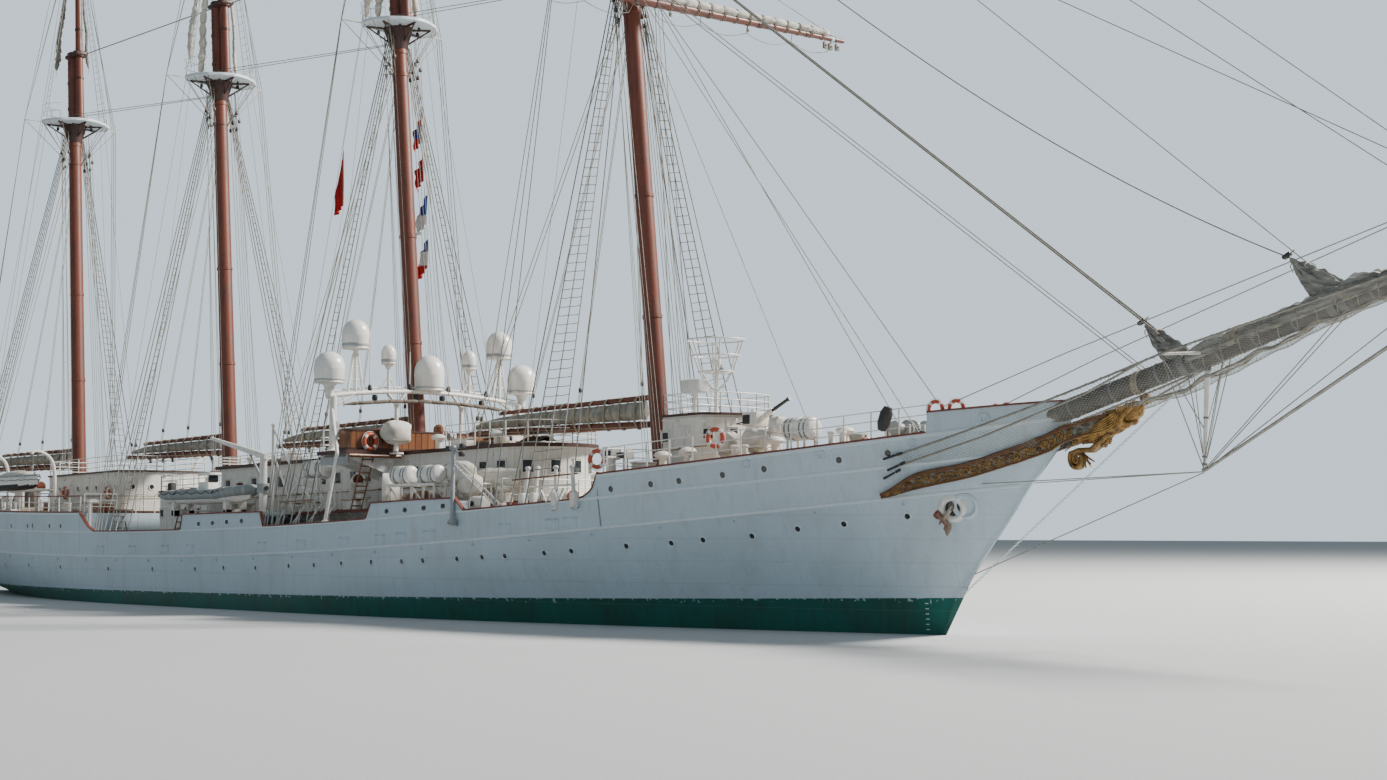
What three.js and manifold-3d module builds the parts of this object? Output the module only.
// Four-masted sail training schooner, a scale model at 1:10.
// Lengths are millimetres of the model: 100 mm is one metre of the ship.
// X runs forward, Y to port and Z up. The origin is amidships on the waterline.
import * as THREE from 'three';
import { mergeVertices } from 'three/addons/utils/BufferGeometryUtils.js';
import Module from 'manifold-3d';

const wasm = await Module();
wasm.setup();

// Driving dimensions
const GAP = 0.3;
const DECK_GAP = 0.7;
const CROWN_GAP = 1;
const CLEARANCE = 6;
const KEEL_DEPTH = 660;
const HALF_BEAM = 655;
const SHEER_LOW_X = -1600;
const POOP_FRONT_X = -1750;
const FORECASTLE_BREAK_X = 2570;
const BOW_BULWARK_X = 4040;
const DECKHOUSE_HALF_WIDTH = 260;
const BOAT_DECK_Z = 487;
const BOAT_DECK_THICKNESS = 10;
const BRIDGE_DECK_Z = 765;
const BRIDGE_DECK_THICKNESS = 14;
const HOUSE_SLOPE = 0.021;
const TOP_Z = 3010;
const CAP_Z = 3480;
const TRUCK_Z = 4870;
const BOWSPRIT_SLOPE = 0.279;
const BOWSPRIT_HEEL_X = 4335;
const BOWSPRIT_TIP_X = 6680;
const YARD_BRACE_ANGLE = THREE.MathUtils.degToRad(-5);
const RUDDER_STOCK_X = -3720;
const PROPELLER_X = -3530;
const SHAFT_Z = -390;
const STAY_RADIUS = 4;
const RIGHT_ANGLE = Math.PI / 2;

const sheer = (base, rise) => (x) => base + rise * (x - SHEER_LOW_X) ** 2;
const deckLine = sheer(258, 8.8e-6);
const railLine = sheer(393, 8.3e-6);
const poopLine = sheer(498, 8.3e-6);
const forecastleLine = sheer(468, 9.3e-6);
const bootTopLine = (x) => 70 + 1.5e-6 * (x + 3000) ** 2;
const topsideLine = (x) => (bootTopLine(x) + deckLine(x)) / 2;
const roofLine = (height) => (x) => height + HOUSE_SLOPE * x;
const boatDeckTop = roofLine(BOAT_DECK_Z);
const bridgeDeckTop = roofLine(BRIDGE_DECK_Z);

// Lines of the hull from the keel up. Each runs from stern to bow at its own height.
// Columns: height, stern x, bow x, half breadth, fore shoulder x, fore power, aft shoulder x, aft power,
// and how the stern rounds off, from 1 for a pointed stern down to 0.5 for a half circle
const line = (height, stern, bow, half, foreX, forePower, aftX, aftPower, round = 1) =>
  ({ height, stern, bow, half, foreX, forePower, aftX, aftPower, round });
const flat = (z) => () => z;
const LINES = {
  keel: line(flat(-KEEL_DEPTH), -3440, 2900, 22, 2700, 1.5, -3300, 1.5),
  garboard: line(flat(-605), -3440, 3180, 200, -500, 1.3, -900, 1.3),
  bilge: line(flat(-475), -3440, 3470, 455, -200, 1.4, -900, 1.35),
  turn: line(flat(-300), -3440, 3720, 590, 0, 1.55, -1000, 1.5),
  flank: line(flat(-130), -3620, 3870, 640, 200, 1.65, -1100, 1.7),
  water: line(flat(0), -3950, 3950, 650, 300, 1.75, -1200, 2.0),
  bootTop: line(bootTopLine, -4180, 4010, 652, 500, 1.85, -1300, 2.1, 0.8),
  topside: line(topsideLine, -4390, 4190, HALF_BEAM, 800, 2.05, -1400, 2.35, 0.72),
  deck: line(deckLine, -4540, 4370, HALF_BEAM, 1000, 2.25, -1500, 2.4, 0.62),
  rail: line(railLine, -4590, 4490, HALF_BEAM, 1100, 2.28, -1600, 2.5, 0.6),
  poop: line(poopLine, -4625, 4560, HALF_BEAM, 1200, 2.3, -1700, 2.6, 0.6),
  forecastle: line(forecastleLine, -4700, 4555, HALF_BEAM, 1200, 2.3, -1700, 3.6),
};
const STEM_HALF_THICKNESS = 5;

function breadth(hullLine, x) {
  const { stern, bow, half, foreX, forePower, aftX, aftPower, round } = hullLine;
  let share = 1;
  if (x > foreX) share = 1 - ((x - foreX) / (bow - foreX)) ** forePower;
  if (x < aftX) share = Math.max(0, 1 - ((aftX - x) / (aftX - stern)) ** aftPower) ** round;
  return Math.max(STEM_HALF_THICKNESS, half * share);
}

// Half breadth of the plating above the main deck, found along the hull's lines
const TOPSIDES = [LINES.deck, LINES.rail, LINES.forecastle];
function sideAt(x, z, startX = FORECASTLE_BREAK_X) {
  const pointAt = (share) => {
    const points = TOPSIDES.map((hullLine) => {
      const along = THREE.MathUtils.lerp(startX, hullLine.bow, share);
      return [along, breadth(hullLine, along), hullLine.height(along)];
    });
    const [low, high] = z < points[1][2] ? [points[0], points[1]] : [points[1], points[2]];
    const rise = (z - low[2]) / (high[2] - low[2]);
    return [THREE.MathUtils.lerp(low[0], high[0], rise), THREE.MathUtils.lerp(low[1], high[1], rise)];
  };
  let [aft, fore] = [-1, 1];
  for (let i = 0; i < 40; i += 1) {
    const middle = (aft + fore) / 2;
    if (pointAt(middle)[0] < x) aft = middle;
    else fore = middle;
  }
  return pointAt(aft)[1];
}

// Geometry helpers
function toSolid(geometry) {
  const bare = geometry.clone();
  bare.deleteAttribute('normal');
  bare.deleteAttribute('uv');
  const merged = mergeVertices(bare, 1e-3);
  return new wasm.Manifold(new wasm.Mesh({
    numProp: 3,
    vertProperties: new Float32Array(merged.attributes.position.array),
    triVerts: new Uint32Array(merged.index.array),
  }));
}

function toGeometry(solid) {
  const { vertProperties, triVerts, numProp } = solid.getMesh();
  const positions = new Float32Array((vertProperties.length / numProp) * 3);
  for (let i = 0; i < positions.length / 3; i += 1) {
    for (let k = 0; k < 3; k += 1) positions[3 * i + k] = vertProperties[numProp * i + k];
  }
  const geometry = new THREE.BufferGeometry();
  geometry.setAttribute('position', new THREE.BufferAttribute(positions, 3));
  geometry.setIndex(new THREE.BufferAttribute(new Uint32Array(triVerts), 1));
  geometry.computeVertexNormals();
  return geometry;
}

const join = (...pieces) => toGeometry(pieces.map(toSolid).reduce((whole, piece) => whole.add(piece)));
const cut = (piece, ...tools) =>
  toGeometry(tools.map(toSolid).reduce((whole, tool) => whole.subtract(tool), toSolid(piece)));

function closedGeometry(points, triangles) {
  let volume = 0;
  for (const [a, b, c] of triangles) {
    volume += points[a].dot(new THREE.Vector3().crossVectors(points[b], points[c]));
  }
  const facing = volume > 0 ? triangles : triangles.map(([a, b, c]) => [a, c, b]);
  const geometry = new THREE.BufferGeometry().setFromPoints(points);
  geometry.setIndex(facing.flat());
  geometry.computeVertexNormals();
  return geometry;
}

// A closed body over rings of points, whose first half mirrors the second half
function skin(rings) {
  const count = rings[0].length;
  const triangles = [];
  const quad = (a, b, c, d) => triangles.push([a, b, c], [a, c, d]);
  for (let i = 0; i + 1 < rings.length; i += 1) {
    for (let j = 0; j < count; j += 1) {
      const next = (j + 1) % count;
      quad(i * count + j, i * count + next, (i + 1) * count + next, (i + 1) * count + j);
    }
  }
  const last = (rings.length - 1) * count;
  for (let j = 0; j < count / 2 - 1; j += 1) {
    quad(count - 1 - j, count - 2 - j, j + 1, j);
    quad(last + j, last + j + 1, last + count - 2 - j, last + count - 1 - j);
  }
  return closedGeometry(rings.flat(), triangles);
}

// Stations are closer together towards the ends of the hull
const stations = (count) => Array.from({ length: count }, (_, i) => {
  const even = i / (count - 1);
  return (even + (1 - Math.cos(Math.PI * even)) / 2) / 2;
});

// A body of the ship's own section between two ends, over some of the hull's lines
function hullBody(lines, startX, endX, shares, lift = 0) {
  const rings = shares.map((share) => {
    const half = lines.map((hullLine, k) => {
      const x = THREE.MathUtils.lerp(startX(hullLine), endX(hullLine), share);
      return [x, breadth(hullLine, x), hullLine.height(x) + (k === 0 ? lift : 0)];
    });
    const port = half.map(([x, y, z]) => new THREE.Vector3(x, y, z)).reverse();
    const starboard = half.map(([x, y, z]) => new THREE.Vector3(x, -y, z));
    return [...port, ...starboard];
  });
  return skin(rings);
}

// A wall that follows a path in plan. Columns of a path row: x, y, bottom z, top z
function wall(path, thickness) {
  const rings = path.map(([x, y, bottom, top], i) => {
    const before = path[Math.max(0, i - 1)];
    const after = path[Math.min(path.length - 1, i + 1)];
    const along = new THREE.Vector2(after[0] - before[0], after[1] - before[1]).normalize();
    const inner = [x - along.y * thickness, y + along.x * thickness];
    return [
      new THREE.Vector3(x, y, bottom),
      new THREE.Vector3(x, y, top),
      new THREE.Vector3(...inner, top),
      new THREE.Vector3(...inner, bottom),
    ];
  });
  return skin(rings);
}

// A house or deck of the given plan outline between two heights that may slope with x
function prism(outline, bottomZ, topZ) {
  const plan = outline.map(([x, y]) => new THREE.Vector2(x, y));
  if (THREE.ShapeUtils.isClockWise(plan)) plan.reverse();
  const count = plan.length;
  const points = [
    ...plan.map(({ x, y }) => new THREE.Vector3(x, y, bottomZ(x))),
    ...plan.map(({ x, y }) => new THREE.Vector3(x, y, topZ(x))),
  ];
  const faces = THREE.ShapeUtils.triangulateShape(plan, []);
  const triangles = [];
  for (const [a, b, c] of faces) triangles.push([c, b, a], [a + count, b + count, c + count]);
  for (let j = 0; j < count; j += 1) {
    const next = (j + 1) % count;
    triangles.push([j, next, next + count], [j, next + count, j + count]);
  }
  return closedGeometry(points, triangles);
}

const mirrored = (outline) => [...outline, ...outline.map(([x, y]) => [x, -y]).reverse()];

// Plan of a house with square aft corners and a rounded front, starboard side first
function housePlan(aftX, frontX, halfWidth, roundness) {
  const sides = Math.max(1, Math.round((frontX - roundness - aftX) / 400));
  const starboard = [];
  for (let i = 0; i <= sides; i += 1) {
    starboard.push([THREE.MathUtils.lerp(aftX, frontX - roundness, i / sides), -halfWidth]);
  }
  for (let i = 1; i <= 4; i += 1) {
    const angle = (i / 5) * RIGHT_ANGLE;
    starboard.push([frontX - roundness * (1 - Math.sin(angle)), -halfWidth * Math.cos(angle)]);
  }
  return mirrored(starboard);
}

// A round bar that tapers from one point to another
function bar(from, to, fromRadius, toRadius = fromRadius, sides = 8) {
  const start = new THREE.Vector3(...from);
  const end = new THREE.Vector3(...to);
  const length = start.distanceTo(end);
  const geometry = new THREE.CylinderGeometry(toRadius, fromRadius, length, sides);
  const direction = end.clone().sub(start).normalize();
  const turn = new THREE.Quaternion().setFromUnitVectors(new THREE.Vector3(0, 1, 0), direction);
  geometry.applyQuaternion(turn);
  return geometry.translate(...start.add(end).multiplyScalar(0.5).toArray());
}

// A round bar along a smooth curve through some points
function bentBar(points, radius, steps) {
  const extrudePath = new THREE.CatmullRomCurve3(points.map((point) => new THREE.Vector3(...point)));
  const section = new THREE.Shape().absarc(0, 0, radius, 0, 2 * Math.PI);
  return new THREE.ExtrudeGeometry(section, { steps, curveSegments: 4, bevelEnabled: false, extrudePath });
}

function box(from, to) {
  const size = to.map((value, i) => value - from[i]);
  const middle = to.map((value, i) => (value + from[i]) / 2);
  return new THREE.BoxGeometry(...size).translate(...middle);
}

// A turned shape on a vertical axis, from the top down. Columns of a profile row: radius, height
function turned(profile, place, sides = 16) {
  const points = profile.map(([radius, height]) => new THREE.Vector2(radius, height)).reverse();
  const geometry = new THREE.LatheGeometry(points, sides);
  geometry.rotateX(RIGHT_ANGLE);
  return toGeometry(toSolid(geometry.translate(...place)));
}

const material = (color, roughness, metalness = 0) =>
  new THREE.MeshStandardMaterial({ color, roughness, metalness });
const PAINT = {
  hullWhite: material(0xd8dde0, 0.45),
  houseWhite: material(0xe9e9e4, 0.5),
  mastBrown: material(0x7a3b28, 0.5),
  varnish: material(0x8a4a22, 0.4),
  teak: material(0xb08a60, 0.75),
  canvas: material(0xb9b6a8, 0.9),
  gilding: material(0x9c7434, 0.45, 0.4),
  grey: material(0x7f8a8f, 0.6),
  steel: material(0x55595c, 0.5, 0.8),
  bronze: material(0xa87b3c, 0.35, 0.9),
  dome: material(0xf2f2ee, 0.35),
};

const ship = new THREE.Group();
function place(name, geometry, paint, position = [0, 0, 0], turnZ = 0) {
  const mesh = new THREE.Mesh(geometry, paint);
  mesh.name = name;
  mesh.position.set(...position);
  mesh.rotation.z = turnZ;
  ship.add(mesh);
}

// Hull, poop and forecastle
const hullLines = ['keel', 'garboard', 'bilge', 'turn', 'flank', 'water', 'bootTop', 'topside', 'deck']
  .map((name) => LINES[name]);
const hullShell = hullBody(hullLines, (l) => l.stern, (l) => l.bow, stations(25));
const solePiece = box([-3765, -14, -KEEL_DEPTH], [-3400, 14, -KEEL_DEPTH + 32]);
place('hull', join(hullShell, solePiece), PAINT.hullWhite);

const poopLines = [LINES.deck, LINES.rail, LINES.poop];
const poopBlock = hullBody(poopLines, (l) => l.stern, () => POOP_FRONT_X, stations(17), DECK_GAP);
place('poop', poopBlock, PAINT.hullWhite);

const forecastleBlock = hullBody(TOPSIDES, () => FORECASTLE_BREAK_X, (l) => l.bow, stations(14), DECK_GAP);
const BOW_BULWARK_THICKNESS = 11;
function bowBulwark() {
  const count = 7;
  const overlap = 4;
  const side = Array.from({ length: count }, (_, i) => {
    const x = THREE.MathUtils.lerp(BOW_BULWARK_X, LINES.forecastle.bow - 1, i / (count - 1));
    const height = THREE.MathUtils.lerp(78, 50, i / (count - 1));
    return [x, breadth(LINES.forecastle, x), forecastleLine(x) - overlap, forecastleLine(x) + height];
  });
  const port = side.slice(0, -1);
  const starboard = side.map(([x, y, bottom, top]) => [x, -y, bottom, top]);
  starboard[count - 1][1] = 0;
  return wall([...starboard, ...port.reverse()], BOW_BULWARK_THICKNESS);
}
const bowspritZ = (x) => 830 + BOWSPRIT_SLOPE * (x - 4500);
const onBowsprit = (x, rise = 0) => [x, 0, bowspritZ(x) + rise];
const bowspritHole = bar(onBowsprit(BOWSPRIT_HEEL_X - GAP), onBowsprit(4900), 40 + GAP, 40 + GAP, 12);
place('forecastle', cut(join(forecastleBlock, bowBulwark()), bowspritHole), PAINT.hullWhite);

// Well deck bulwarks with the two raised boxes on each side. Columns: x, height above the rail line
const BULWARK_TOPS = [
  [POOP_FRONT_X + GAP + 1, 98], [-1700, 62], [-1650, 26], [-1580, 0], [-1100, 0], [-640, 0], [-620, 81],
  [-250, 78], [130, 72], [160, 0], [600, 0], [1040, 0], [1080, 72], [1400, 68], [1700, 58], [1760, 0],
  [2100, 0], [2440, 0], [2562, 100],
];
const BULWARK_THICKNESS = 9;
// Columns: aft end x and fore end x of each box's deck
const BOX_DECKS = [[-615, 125], [1085, 1695]];
function bulwark(side) {
  const path = BULWARK_TOPS.map(([x, height]) =>
    [x, side * (breadth(LINES.rail, x) - GAP), deckLine(x) + DECK_GAP, railLine(x) + height]);
  const plating = wall(side < 0 ? path : path.reverse(), BULWARK_THICKNESS);
  const slabs = BOX_DECKS.map(([aftX, foreX]) => {
    const outer = (x) => side * (breadth(LINES.rail, x) - 5);
    const plan = [[aftX, side * 440], [foreX, side * 440], [foreX, outer(foreX)], [aftX, outer(aftX)]];
    return prism(plan, (x) => boatDeckTop(x) - BOAT_DECK_THICKNESS, boatDeckTop);
  });
  return join(plating, ...slabs);
}
place('bulwark_starboard', bulwark(-1), PAINT.hullWhite);
place('bulwark_port', bulwark(1), PAINT.hullWhite);

// Deckhouses and decks
const onDeck = (x) => deckLine(x) + DECK_GAP;
const boatDeckUnderside = (x) => boatDeckTop(x) - BOAT_DECK_THICKNESS;
const bridgeDeckUnderside = (x) => bridgeDeckTop(x) - BRIDGE_DECK_THICKNESS;
const lowerHousePlan = housePlan(-920, 1730, 360, 120);
const lowerHouse = prism(lowerHousePlan, onDeck, (x) => boatDeckUnderside(x) - GAP);
place('lower_deckhouse', lowerHouse, PAINT.houseWhite);
const boatDeckPlan = mirrored([[-950, -438], [1780, -438]]);
place('boat_deck', prism(boatDeckPlan, boatDeckUnderside, boatDeckTop), PAINT.teak);
const upperHousePlan = housePlan(-900, 1720, DECKHOUSE_HALF_WIDTH, 200);
const upperHouse = prism(upperHousePlan, (x) => boatDeckTop(x) + GAP, (x) => bridgeDeckUnderside(x) - GAP);
place('upper_deckhouse', upperHouse, PAINT.houseWhite);

const WING = { aftX: 560, foreX: 810, halfSpan: 602, inboard: 275 };
function bridgeDeckPlan() {
  const tongue = housePlan(-930, 1760, WING.inboard, 210);
  const starboard = tongue.slice(0, tongue.length / 2);
  const aft = starboard.filter(([x]) => x < WING.aftX);
  const fore = starboard.filter(([x]) => x > WING.foreX);
  const wing = [[WING.aftX, -WING.inboard], [WING.aftX, -WING.halfSpan],
    [WING.foreX, -WING.halfSpan], [WING.foreX, -WING.inboard]];
  return mirrored([...aft, ...wing, ...fore]);
}
place('bridge_deck', prism(bridgeDeckPlan(), bridgeDeckUnderside, bridgeDeckTop), PAINT.teak);

const SCREEN_HEIGHT = 100;
function bridgeScreen(side) {
  const plan = [[716, -588], [800, -588], [800, -60]];
  const path = plan.map(([x, y]) => [x, side * -y, bridgeDeckTop(x) + GAP, bridgeDeckTop(x) + SCREEN_HEIGHT]);
  return wall(side < 0 ? path : path.reverse(), 9);
}
place('bridge_screen_starboard', bridgeScreen(-1), PAINT.varnish);
place('bridge_screen_port', bridgeScreen(1), PAINT.varnish);

const mizzenHouseRoof = roofLine(652);
const mizzenHousePlan = housePlan(-1560, -1000, DECKHOUSE_HALF_WIDTH, 60);
place('mizzen_deckhouse', prism(mizzenHousePlan, onDeck, mizzenHouseRoof), PAINT.houseWhite);
const poopHousePlan = housePlan(-2860, -1930, 290, 80);
const poopHouse = prism(poopHousePlan, (x) => poopLine(x) + DECK_GAP, roofLine(790));
place('poop_deckhouse', poopHouse, PAINT.houseWhite);
const foreHouseRoof = roofLine(830);
const foreHousePlan = housePlan(2600, 2890, 220, 90);
const foreHouse = prism(foreHousePlan, (x) => forecastleLine(x) + DECK_GAP, foreHouseRoof);
place('forecastle_deckhouse', foreHouse, PAINT.houseWhite);

// Antenna gantry across the bridge, with the seven domes on it
const GANTRY = { x: 640, halfSpan: 600, endZ: 1048, crownZ: 1092, radius: 11 };
const gantryZ = (y) => THREE.MathUtils.lerp(GANTRY.crownZ, GANTRY.endZ, (y / GANTRY.halfSpan) ** 2);
const onGantry = (y, rise = 0) => [GANTRY.x, y, gantryZ(y) + rise];
function gantryBeam() {
  return bentBar([-1, -0.5, 0, 0.5, 1].map((share) => onGantry(share * GANTRY.halfSpan)), GANTRY.radius, 8);
}
function gantryPost(y, lean) {
  const foot = [GANTRY.x, y, bridgeDeckTop(GANTRY.x) + GAP];
  const fork = [GANTRY.x, y, gantryZ(y) - 62];
  return [
    bar(foot, fork, 10, 10, 6),
    bar([fork[0], fork[1], fork[2] - 6], onGantry(y + lean), 8, 8, 6),
    bar([fork[0], fork[1], fork[2] - 6], onGantry(y - lean), 8, 8, 6),
  ];
}
const capped = (radius, height) => [
  [0, height],
  [radius * 0.6, height * 0.9],
  [radius * 0.92, height * 0.66],
  [radius, height * 0.4],
  [radius, 0],
];
// Columns: y, height of the dome's foot above the beam, dome radius, dome height, foot radius
const DOMES = [
  [-596, 66, 74, 150, 30],
  [-446, 222, 67, 140, 14],
  [-250, 142, 37, 92, 10],
  [0, 12, 76, 176, 26],
  [250, 142, 37, 92, 10],
  [446, 222, 67, 140, 14],
  [596, 66, 74, 150, 30],
];
function dome([y, rise, radius, height, footRadius]) {
  const body = turned([...capped(radius, height), [footRadius, -18], [0, -18]], onGantry(y, rise), 10);
  const post = bar(onGantry(y), onGantry(y, rise - 8), footRadius * 0.7, footRadius * 0.7, 6);
  return [post, body];
}
const domeLegs = [-446, 446].flatMap((y) => [-46, 46].map((step) =>
  bar(onGantry(y + step), onGantry(y, 190), 5, 5, 6)));
// Columns: y of the post, half spread of its fork
const GANTRY_POSTS = [[-200, 60], [200, 60]];
// A column at each end, and a cranked leg that stands on the bulwark outside the wing
function gantryEnd(side) {
  const columnY = side * 572;
  const fork = [GANTRY.x, side * 580, gantryZ(580) - 60];
  const knee = [785, side * 644, 768];
  return [
    bar([GANTRY.x, columnY, bridgeDeckTop(GANTRY.x) + GAP], onGantry(columnY), 14, 14, 8),
    bar(fork, knee, 9, 9, 6),
    bar([knee[0], knee[1], knee[2] + 5], [700, side * (sideAt(700, railLine(700)) - 8), railLine(700) + 6], 9, 9, 6),
    bar(fork, onGantry(side * 596), 8, 8, 6),
    bar(fork, onGantry(side * 440), 7, 7, 6),
  ];
}
const gantryPosts = GANTRY_POSTS.flatMap(([y, lean]) => gantryPost(y, lean));
const gantryEnds = [-1, 1].flatMap(gantryEnd);
const gantryParts = [...gantryPosts, ...gantryEnds, ...DOMES.flatMap(dome), ...domeLegs];
place('antenna_gantry', join(gantryBeam(), ...gantryParts), PAINT.dome);

// Radar mast on the forecastle house, with its basket of rings
function radarMast() {
  const x = 2700;
  const foot = foreHouseRoof(x + 16) + GAP;
  const top = 1222;
  const ring = (z, radius) => new THREE.TorusGeometry(radius, 4, 5, 12).translate(x, 0, z);
  const rings = [ring(top - 4, 128), ring(1080, 78)];
  const ribs = Array.from({ length: 6 }, (_, i) => {
    const angle = (i / 6) * 2 * Math.PI;
    const at = (radius, z) => [x + radius * Math.cos(angle), radius * Math.sin(angle), z];
    return bar(at(10, 1000), at(128, top - 4), 4, 4, 5);
  });
  const arms = [0, 1].map((i) => {
    const angle = i * RIGHT_ANGLE;
    const at = (radius) => [x + radius * Math.cos(angle), radius * Math.sin(angle), 1080];
    return bar(at(-78), at(78), 4, 4, 5);
  });
  return join(bar([x, 0, foot], [x, 0, top - 40], 16, 9, 10), ...rings, ...ribs, ...arms);
}
place('radar_mast', radarMast(), PAINT.houseWhite);

// Saluting gun on its pedestal
const GUN = { x: 3060, y: -120, baseRadius: 34 };
function salutingGun() {
  const footZ = forecastleLine(GUN.x + GUN.baseRadius) + CROWN_GAP;
  const pedestal = bar([GUN.x, GUN.y, footZ], [GUN.x, GUN.y, 830], GUN.baseRadius, 26, 12);
  const breech = box([GUN.x - 50, GUN.y - 42, 820], [GUN.x + 40, GUN.y + 42, 890]);
  const barrel = bar([GUN.x, GUN.y, 862], [GUN.x + 190, GUN.y, 938], 10, 7, 8);
  return join(pedestal, breech, barrel);
}
place('saluting_gun', salutingGun(), PAINT.grey);

// Liferaft canisters in their racks on the boat deck, by the x of each canister's middle
const RAFT_X = [1235, 1445];
const RAFT = { y: 580, z: 654, radius: 42, halfLength: 65, shelfZ: 600 };
function liferafts(side) {
  const y = side * RAFT.y;
  const canister = (x) =>
    bar([x - RAFT.halfLength, y, RAFT.z], [x + RAFT.halfLength, y, RAFT.z], RAFT.radius, RAFT.radius, 12);
  const legs = RAFT_X.flatMap((x) => [-40, 40].map((step) =>
    box([x + step - 5, y - 30, boatDeckTop(x) + 2], [x + step + 5, y + 30, RAFT.shelfZ + 25])));
  const shelf = box([RAFT_X[0] - 75, y - 32, RAFT.shelfZ], [RAFT_X[1] + 75, y + 32, RAFT.shelfZ + 16]);
  return join(...RAFT_X.map(canister), shelf, ...legs);
}
place('liferafts_starboard', liferafts(-1), PAINT.houseWhite);
place('liferafts_port', liferafts(1), PAINT.houseWhite);

// Boats. A boat's table gives its hull from transom to stem.
// Columns: share of length, half breadth share, keel rise share of depth
const BOAT_FORM = [
  [0, 0.78, 0.08],
  [0.15, 0.92, 0.02],
  [0.4, 1, 0],
  [0.65, 0.92, 0.02],
  [0.82, 0.66, 0.08],
  [0.93, 0.34, 0.22],
  [1, 0.04, 0.45],
];
function boatHull(sternX, bowX, y, keelZ, halfWidth, depth) {
  const rings = BOAT_FORM.map(([along, wide, rise]) => {
    const x = THREE.MathUtils.lerp(sternX, bowX, along);
    const half = Math.max(2, halfWidth * wide);
    const bottom = keelZ + rise * depth;
    const top = keelZ + depth;
    const bilge = THREE.MathUtils.lerp(bottom, top, 0.25);
    const section = [[half * 0.1, bottom], [half * 0.72, bilge], [half, top]];
    const port = section.map(([w, z]) => new THREE.Vector3(x, y + w, z)).reverse();
    const starboard = section.map(([w, z]) => new THREE.Vector3(x, y - w, z));
    return [...port, ...starboard];
  });
  return skin(rings);
}
function rescueBoat() {
  const hull = boatHull(-900, -60, -572, 535, 100, 80);
  const console = box([-560, -610, 600], [-430, -534, 700]);
  const chocks = [-760, -240].map((x) => box([x - 10, -640, boatDeckTop(x) + 4], [x + 10, -505, 552]));
  return join(hull, console, ...chocks);
}
place('rescue_boat', rescueBoat(), PAINT.grey);

const DINGHY_Y = 352;
function dinghy(side) {
  const y = side * DINGHY_Y;
  const chocks = [1490, 1690].map((x) => box([x - 8, y - 40, boatDeckTop(x) + 2], [x + 8, y + 40, 604]));
  return join(boatHull(1410, 1820, y, 584, 62, 84), ...chocks);
}
place('dinghy_starboard', dinghy(-1), PAINT.canvas);
place('dinghy_port', dinghy(1), PAINT.canvas);

const LAUNCH = { sternX: -3230, bowX: -2370, y: 600, keelZ: 632, halfWidth: 105, depth: 110 };
const DAVIT_X = [-3060, -2450];
const launch = (side) => boatHull(LAUNCH.sternX, LAUNCH.bowX, side * LAUNCH.y, LAUNCH.keelZ,
  LAUNCH.halfWidth, LAUNCH.depth);
place('launch_starboard', launch(-1), PAINT.hullWhite);
place('launch_port', launch(1), PAINT.hullWhite);
function davits(side) {
  const arm = (x) => {
    const foot = poopLine(x) + 2;
    const shape = [[460, foot], [460, 700], [475, 800], [520, 850], [575, 868], [610, 858]];
    return bentBar(shape.map(([y, z]) => [x, side * y, z]), 9, 14);
  };
  const spanBar = bar([DAVIT_X[0], side * 460, 640], [DAVIT_X[1], side * 460, 640], 5, 5, 6);
  return join(...DAVIT_X.map(arm), spanBar);
}
place('davits_starboard', davits(-1), PAINT.houseWhite);
place('davits_port', davits(1), PAINT.houseWhite);

// Boat crane on the starboard side, its jib stowed aft
const CRANE = { x: -20, y: -545, height: 300 };
const craneColumn = bar([0, 0, 0], [0, 0, CRANE.height], 20, 17, 10);
const craneJib = bar([20, 0, CRANE.height - 10], [-510, 0, CRANE.height + 95], 18, 11, 8);
const craneFoot = [CRANE.x, CRANE.y, boatDeckTop(CRANE.x) + CROWN_GAP];
place('boat_crane', join(craneColumn, craneJib), PAINT.houseWhite, craneFoot);

// Bowsprit with the dolphin striker, furled headsails, figurehead and trailboards
const STRIKER_X = 5120;
const sprit = bar(onBowsprit(BOWSPRIT_HEEL_X), onBowsprit(5600), 40, 34, 12);
const jibboom = bar(onBowsprit(5590), onBowsprit(BOWSPRIT_TIP_X), 33, 15, 12);
const striker = bar(onBowsprit(STRIKER_X), [STRIKER_X - 20, 0, 600], 11, 7, 8);
place('bowsprit', join(sprit, jibboom, striker), PAINT.mastBrown);

function furledHeadsails() {
  // The canvas lies over the spar. Columns: x, thickness on top, thickness at the sides
  const form = [
    [5056, 5, 5],
    [5110, 13, 15],
    [5220, 12, 18],
    [5400, 13, 18],
    [5560, 20, 20],
    [5680, 33, 22],
    [5810, 15, 20],
    [6120, 14, 18],
    [6360, 10, 12],
    [6430, 5, 5],
  ];
  const gap = 3;
  const steps = 8;
  const rings = form.map(([x, top, sides]) => {
    const sparRadius = x < 5600 ? 40 - 6 * (x - BOWSPRIT_HEEL_X) / 1265 : 33 - 18 * (x - 5590) / 1090;
    const inner = sparRadius * 1.04 + gap;
    const at = (angle, radius) =>
      new THREE.Vector3(x, radius * Math.cos(angle), bowspritZ(x) + radius * Math.sin(angle));
    const outside = [];
    const inside = [];
    for (let i = 0; i <= steps; i++) {
      const angle = THREE.MathUtils.degToRad(-10 + 200 * i / steps);
      const lift = Math.max(0, Math.sin(angle));
      const tuck = i === 0 || i === steps ? 0.4 : 1;
      outside.push(at(angle, inner + tuck * (sides + (top - sides) * lift * lift)));
      inside.unshift(at(angle, inner));
    }
    return [...outside, ...inside];
  });
  return skin(rings);
}
place('furled_headsails', furledHeadsails(), PAINT.canvas);

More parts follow.
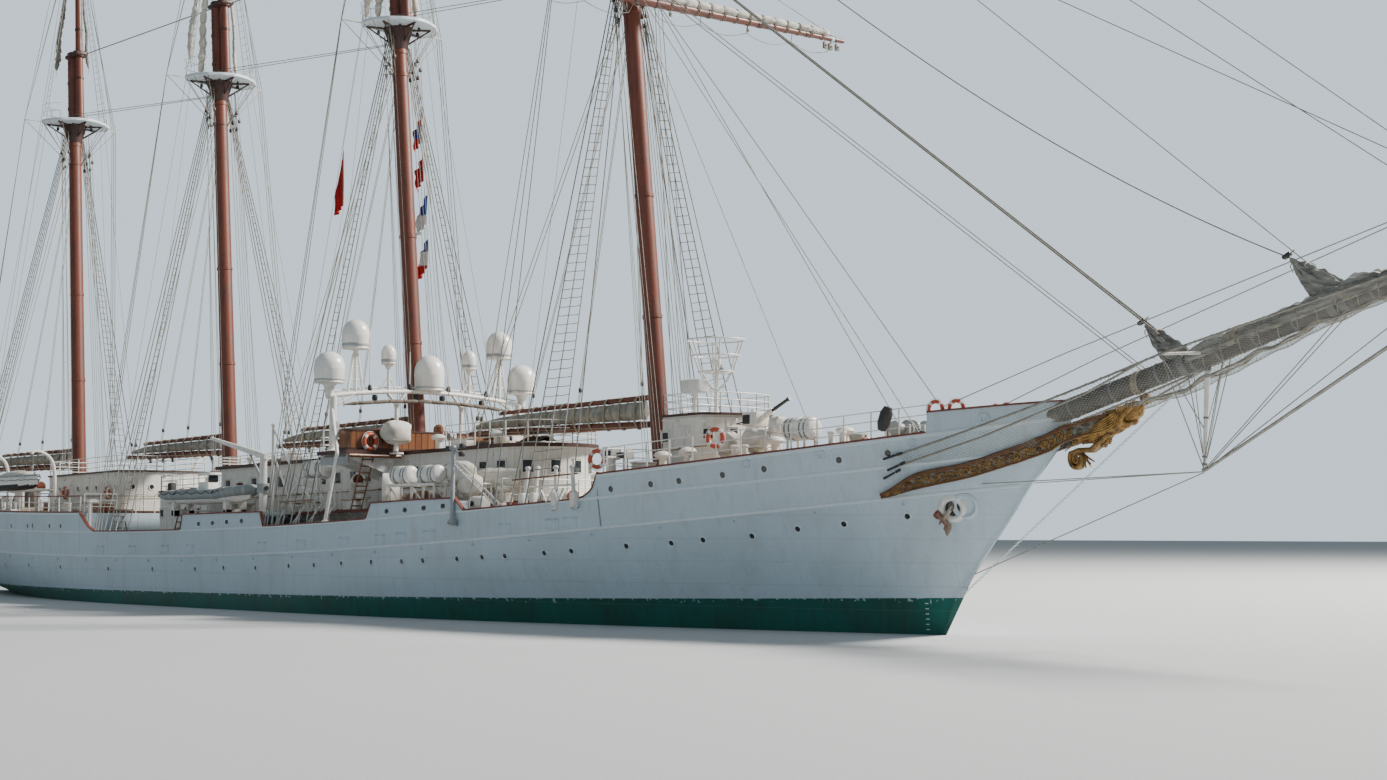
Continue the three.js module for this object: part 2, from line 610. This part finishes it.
// Columns: x, lower edge z, upper edge z
const TRAILBOARD = [
  [3830, 524, 536],
  [3980, 560, 612],
  [4170, 598, 650],
  [4350, 650, 706],
  [4460, 688, 748],
];
function trailboard(side) {
  const inset = 7;
  const thickness = 8;
  const rows = TRAILBOARD.map(([x, low, high]) =>
    ({ x, low, high, yLow: sideAt(x, low), yHigh: sideAt(x, high) }));
  rows.push({ x: 4560, low: 722, high: 780, yLow: 38, yHigh: 44 });
  rows.push({ x: 4720, low: 765, high: 815, yLow: 6, yHigh: 8 });
  return skin(rows.map(({ x, low, high, yLow, yHigh }) => [
    new THREE.Vector3(x, side * (yLow + inset + thickness), low),
    new THREE.Vector3(x, side * (yHigh + inset + thickness), high),
    new THREE.Vector3(x, side * (yHigh + inset), high),
    new THREE.Vector3(x, side * (yLow + inset), low),
  ]));
}
function figure() {
  // Columns: x, z, half width, half height
  const form = [
    [4600, 690, 10, 16],
    [4660, 720, 24, 46],
    [4720, 772, 30, 58],
    [4780, 808, 30, 52],
    [4826, 826, 26, 42],
    [4852, 848, 15, 22],
    [4876, 866, 15, 20],
    [4892, 876, 6, 8],
  ];
  const rings = form.map(([x, z, half, tall]) => Array.from({ length: 8 }, (_, i) => {
    const angle = ((i + 0.5) / 8) * 2 * Math.PI + RIGHT_ANGLE;
    const rise = tall * Math.sin(angle);
    return new THREE.Vector3(x - rise * 0.4, half * Math.cos(angle), z + rise);
  }));
  return skin(rings);
}
place('figurehead', join(figure(), trailboard(-1), trailboard(1)), PAINT.gilding);

// Anchors in their hawse pipes
const ANCHOR = { x: 4072, z: 482 };
function anchor(side) {
  const { x, z } = ANCHOR;
  const y = side * (sideAt(x, deckLine(x)) - 4);
  const out = side * 26;
  return join(
    bar([x + 4, y + out - side * 12, z + 14], [x - 38, y + out, z - 36], 8, 8, 8),
    bar([x - 62, y + out, z - 14], [x - 12, y + out - side * 8, z - 56], 11, 11, 8),
    bar([x - 56, y + out, z - 18], [x - 98, y + out + side * 4, z + 4], 12, 4, 6),
    bar([x - 16, y + out - side * 8, z - 52], [x - 20, y + out - side * 12, z - 92], 12, 4, 6));
}
place('anchor_starboard', anchor(-1), PAINT.steel);
place('anchor_port', anchor(1), PAINT.steel);

// Masts. Columns: name, x at a height of 600, rake, height of the foot
const MASTS = [
  { name: 'fore', x: 2370, rake: 0.101, foot: (x) => deckLine(x) },
  { name: 'main', x: 570, rake: 0.095, foot: bridgeDeckTop },
  { name: 'mizzen', x: -1230, rake: 0.081, foot: mizzenHouseRoof },
  { name: 'jigger', x: -3030, rake: 0.072, foot: poopLine },
];
const MAST_RADIUS = { foot: 43, top: 38 };
const TOPMAST = { forward: 74, footRadius: 27, truckRadius: 12 };
const mastX = (mast, z) => mast.x - mast.rake * (z - 600);
// Plan of a mast's top, starboard side. Columns: distance ahead of the mast, y
const TOP_PLAN = [[-70, -30], [-50, -190], [0, -222], [60, -205], [120, -150], [160, -80], [176, -20]];

for (const mast of MASTS) {
  const footZ = mast.foot(mast.x) + CROWN_GAP;
  const lean = Math.hypot(1, mast.rake);
  const group = new THREE.Group();
  group.position.set(mastX(mast, footZ), 0, footZ);
  group.rotation.y = -Math.atan(mast.rake);
  const up = (z) => (z - footZ) * lean;
  const top = prism(mirrored(TOP_PLAN), () => up(TOP_Z) - 12, () => up(TOP_Z));
  const { foot: footRadius, top: headRadius } = MAST_RADIUS;
  const hounds = bar([0, 0, up(TOP_Z) - 120], [0, 0, up(TOP_Z) - 8], headRadius + 4, headRadius + 40, 12);
  const heel = mast.rake * footRadius + CROWN_GAP;
  const pole = bar([0, 0, heel], [0, 0, up(CAP_Z)], footRadius, headRadius, 12);
  const capBlock = box([-46, -44, up(CAP_Z) - 40], [TOPMAST.forward + 46, 44, up(CAP_Z) - 8]);
  const capHole = bar([TOPMAST.forward, 0, up(CAP_Z) - 60], [TOPMAST.forward, 0, up(CAP_Z) + 20], 28, 28, 12);
  const lower = new THREE.Mesh(cut(join(pole, top, hounds, capBlock), capHole), PAINT.mastBrown);
  lower.name = `${mast.name}_mast`;
  const topmastPole = bar([TOPMAST.forward, 0, up(TOP_Z) + 1], [TOPMAST.forward, 0, up(TRUCK_Z) - 10],
    TOPMAST.footRadius, TOPMAST.truckRadius, 12);
  const truck = bar([TOPMAST.forward, 0, up(TRUCK_Z) - 14], [TOPMAST.forward, 0, up(TRUCK_Z)], 17, 17, 12);
  const upper = new THREE.Mesh(join(topmastPole, truck), PAINT.mastBrown);
  upper.name = `${mast.name}_topmast`;
  group.add(lower, upper);
  ship.add(group);
}

// Booms, gaffs and furled gaff sails. A gaff is lowered onto its sail, from its throat to its peak
const SAILS = [
  { mast: MASTS[0], boomZ: 870, length: 1330, throatZ: 990, peakZ: 962 },
  { mast: MASTS[1], boomZ: 862, length: 1240, throatZ: 966, peakZ: 944 },
  { mast: MASTS[2], boomZ: 843, length: 1130, throatZ: 940, peakZ: 918 },
  { mast: MASTS[3], boomZ: 806, length: 1260, throatZ: 906, peakZ: 896 },
];
const JAW_REACH = MAST_RADIUS.foot + CLEARANCE;
for (const { mast, boomZ, length, throatZ, peakZ } of SAILS) {
  const pivot = [mastX(mast, boomZ), 0, boomZ];
  const shift = (z) => mastX(mast, z) - pivot[0];
  const fullest = -JAW_REACH - 0.45 * length;
  const innerBoom = bar([-JAW_REACH - 14, 0, 0], [fullest, 0, 0], 15, 19, 10);
  const outerBoom = bar([fullest + 1, 0, 0], [-JAW_REACH - length, 0, 0], 19, 12, 10);
  const jaws = box([-JAW_REACH - 40, -12, -14], [-JAW_REACH, 12, 14]);
  place(`${mast.name}_boom`, join(innerBoom, outerBoom, jaws), PAINT.mastBrown, pivot);
  const gaffLength = 0.8 * length;
  const throat = [shift(throatZ) - JAW_REACH - 10, 0, throatZ - boomZ];
  const peak = [throat[0] - gaffLength, 0, peakZ - boomZ];
  place(`${mast.name}_gaff`, bar(throat, peak, 13, 9, 10), PAINT.mastBrown, pivot);
  const sailTop = (x) => throatZ - boomZ - 15 + (peakZ - throatZ) * (throat[0] - x) / gaffLength;
  // Columns: share of length, half width, share of the height between boom and gaff
  const form = [[0.005, 14, 1], [0.06, 30, 1], [0.3, 36, 1], [0.6, 33, 1], [0.8, 26, 0.9], [0.93, 12, 0.5]];
  const rings = form.map(([along, half, tall]) => {
    const x = throat[0] - 6 - along * length;
    const bottom = 21;
    const height = (sailTop(x) - bottom) * tall;
    const section = [[half * 0.5, bottom], [half, bottom + height * 0.35], [half * 0.35, bottom + height]];
    const port = section.map(([w, z]) => new THREE.Vector3(x, w, z)).reverse();
    const starboard = section.map(([w, z]) => new THREE.Vector3(x, -w, z));
    return [...port, ...starboard];
  });
  place(`${mast.name}_sail_furled`, skin(rings), PAINT.canvas, pivot);
}

// Yards of the foremast with their furled sails, each ahead of the mast that it turns round
const YARDS = [
  { name: 'fore_yard', z: 2785, half: 1220, radius: 21, reach: 104, pivotX: 0, mastRadius: 43 },
  { name: 'lower_topsail_yard', z: 3560, half: 1070, radius: 18, reach: 86, pivotX: 74, mastRadius: 27 },
  { name: 'upper_topsail_yard', z: 3740, half: 930, radius: 15, reach: 82, pivotX: 74, mastRadius: 25 },
  { name: 'topgallant_yard', z: 4160, half: 740, radius: 12, reach: 74, pivotX: 74, mastRadius: 21 },
];
const UP = new THREE.Vector3(0, 0, 1);
const foreMast = MASTS[0];
for (const { name, z, half, radius, reach, pivotX, mastRadius } of YARDS) {
  const arm = (side) => bar([0, 0, 0], [0, side * half, 0], radius, radius * 0.5, 10);
  const foot = radius * 0.8 + 8;
  const roll = (side) => bar([0, side * 8, radius + 10], [0, side * (half - 90), foot], 27, 15, 8);
  const rollMiddle = bar([0, -9, radius + 10], [0, 9, radius + 10], 27, 27, 8);
  const yoke = box([-reach + mastRadius + CLEARANCE, -16, -12], [0, 16, 12]);
  const yard = join(arm(-1), arm(1), roll(-1), roll(1), rollMiddle, yoke);
  const ahead = new THREE.Vector3(reach, 0, 0).applyAxisAngle(UP, YARD_BRACE_ANGLE);
  place(name, yard, PAINT.mastBrown, [mastX(foreMast, z) + pivotX + ahead.x, ahead.y, z], YARD_BRACE_ANGLE);
}

// Main stays of the foremast and bowsprit
const stay = (from, to) => bar(from, to, STAY_RADIUS, STAY_RADIUS, 6);
place('fore_stay', stay([mastX(foreMast, 3120) + 112, 0, 3120], onBowsprit(5030, 44)), PAINT.steel);
place('bobstay', stay([4046, 0, 160], onBowsprit(5080, -46)), PAINT.steel);

// Rudder and propeller
const rudderSection = new THREE.Shape()
  .moveTo(38, 0).quadraticCurveTo(30, 15, 0, 16).lineTo(-230, 3).lineTo(-230, -3).lineTo(0, -16)
  .quadraticCurveTo(30, -15, 38, 0);
const bladeForm = { depth: 440, curveSegments: 4, bevelEnabled: false };
const rudderBlade = new THREE.ExtrudeGeometry(rudderSection, bladeForm).translate(0, 0, -KEEL_DEPTH + 40);
const rudderStock = bar([0, 0, -200], [0, 0, -104], 14, 14, 10);
place('rudder', join(rudderBlade, rudderStock), PAINT.hullWhite, [RUDDER_STOCK_X, 0, 0]);

function propeller() {
  const hub = bar([60, 0, 0], [-60, 0, 0], 30, 16, 12);
  const shaft = bar([84, 0, 0], [50, 0, 0], 16, 16, 10);
  const blades = Array.from({ length: 4 }, (_, i) => {
    const outline = new THREE.Shape().absellipse(0, 92, 42, 60, 0, 2 * Math.PI);
    const blade = new THREE.ExtrudeGeometry(outline, { depth: 7, curveSegments: 8, bevelEnabled: false });
    blade.translate(0, 0, -3.5);
    blade.rotateY(THREE.MathUtils.degToRad(55));
    const root = bar([0, 20, 0], [0, 60, 0], 9, 6, 8);
    return join(blade, root).rotateX(i * RIGHT_ANGLE);
  });
  return join(hub, shaft, ...blades);
}
place('propeller', propeller(), PAINT.bronze, [PROPELLER_X, 0, SHAFT_Z]);

export default ship;
